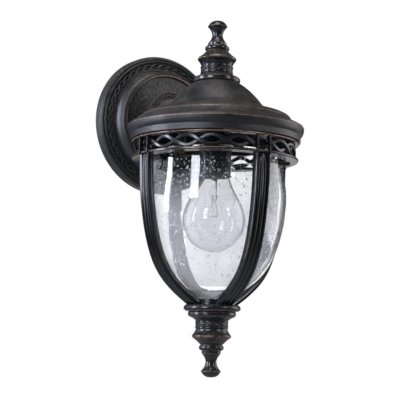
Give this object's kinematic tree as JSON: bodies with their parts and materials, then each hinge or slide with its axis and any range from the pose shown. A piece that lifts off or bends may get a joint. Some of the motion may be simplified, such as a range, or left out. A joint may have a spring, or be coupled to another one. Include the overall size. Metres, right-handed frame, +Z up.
{
  "type": "outdoor wall lantern",
  "caption": "Wall lantern with a round moulded backplate, short arched arm, domed roof, pierced gallery, curved reeded ribs around a seeded glass bowl, turned finials and a clear lamp.",
  "frame": {"origin": "on the wall, at the centre of the mounting strap's slot pattern and of the round backplate", "axes": "+Z up, +Y into the wall, -Y out into the room or yard, +X to the right of someone facing the wall"},
  "size_m": [0.1704, 0.1972, 0.344],
  "materials": {
    "bronze": "cast, dark bronze powder coat with worn copper edges",
    "zinc_steel": "zinc-plated",
    "brass": "dull",
    "dark_screw": "antique brown brass",
    "phenolic": "black moulded",
    "seeded_glass": "clear with small bubbles",
    "bulb_glass": "clear",
    "lamp_cap": "bright rolled cap",
    "tungsten": "fine wire",
    "foam": "closed-cell foam",
    "clear_rubber": "translucent silicone",
    "green_screw": "green"
  },
  "bodies": {
    "fixture": {"mounting_strap": "zinc_steel", "mounting_studs": "zinc_steel", "stud_lock_nuts": "zinc_steel", "ground_screw": "green_screw", "backplate": "bronze", "wall_gasket": "foam", "wire_bushing": "phenolic", "arm_screws": "zinc_steel", "arm_nipple": "zinc_steel", "arm_nipple_nuts": "zinc_steel", "arm": "bronze", "roof": "bronze", "roof_stud": "zinc_steel", "roof_stud_nut": "zinc_steel", "lampholder_bridge": "zinc_steel", "bridge_screws": "zinc_steel", "socket_nipple": "zinc_steel", "socket_nipple_nut": "zinc_steel", "socket_cap": "phenolic", "socket_body": "phenolic", "screw_shell": "brass", "centre_contact": "brass"},
    "finial_top": {"top_finial": "bronze"},
    "nut_left": {"cap_nut_left": "bronze"},
    "nut_right": {"cap_nut_right": "bronze"},
    "cage": {"gallery": "bronze", "rib_front": "bronze", "rib_right": "bronze", "rib_rear": "bronze", "rib_left": "bronze", "base_collar": "bronze", "rib_foot_screws": "zinc_steel", "glass_seat": "bronze", "glass_pad": "clear_rubber", "seat_stud": "zinc_steel", "seat_stud_nut": "zinc_steel", "glass_bowl": "seeded_glass"},
    "screw_1": {"cage_screw_1": "dark_screw"},
    "screw_2": {"cage_screw_2": "dark_screw"},
    "screw_3": {"cage_screw_3": "dark_screw"},
    "finial_bottom": {"bottom_finial": "bronze"},
    "lamp": {"bulb_envelope": "bulb_glass", "bulb_base": "lamp_cap", "bulb_insulator": "phenolic", "bulb_contact": "lamp_cap", "bulb_stem": "bulb_glass", "bulb_filament": "tungsten"}
  },
  "joints": [
    {"name": "cage_lower", "type": "slide", "parent": "fixture", "child": "cage", "axis": [0, 0, -1], "range_m": [0, 0.11]},
    {"name": "lamp_out", "type": "slide", "parent": "fixture", "child": "lamp", "axis": [0, 0, -1], "range_m": [0, 0.035]},
    {"name": "top_finial_off", "type": "slide", "parent": "fixture", "child": "finial_top", "axis": [0, 0, 1], "range_m": [0, 0.022]},
    {"name": "bottom_finial_off", "type": "slide", "parent": "cage", "child": "finial_bottom", "axis": [0, 0, -1], "range_m": [0, 0.021]},
    {"name": "cap_nut_left_off", "type": "slide", "parent": "fixture", "child": "nut_left", "axis": [0, -1, 0], "range_m": [0, 0.009]},
    {"name": "cap_nut_right_off", "type": "slide", "parent": "fixture", "child": "nut_right", "axis": [0, -1, 0], "range_m": [0, 0.009]},
    {"name": "cage_screw_1_out", "type": "slide", "parent": "cage", "child": "screw_1", "axis": [0, 0, -1], "range_m": [0, 0.0065]},
    {"name": "cage_screw_2_out", "type": "slide", "parent": "cage", "child": "screw_2", "axis": [0, 0, -1], "range_m": [0, 0.0065]},
    {"name": "cage_screw_3_out", "type": "slide", "parent": "cage", "child": "screw_3", "axis": [0, 0, -1], "range_m": [0, 0.0065]}
  ]
}
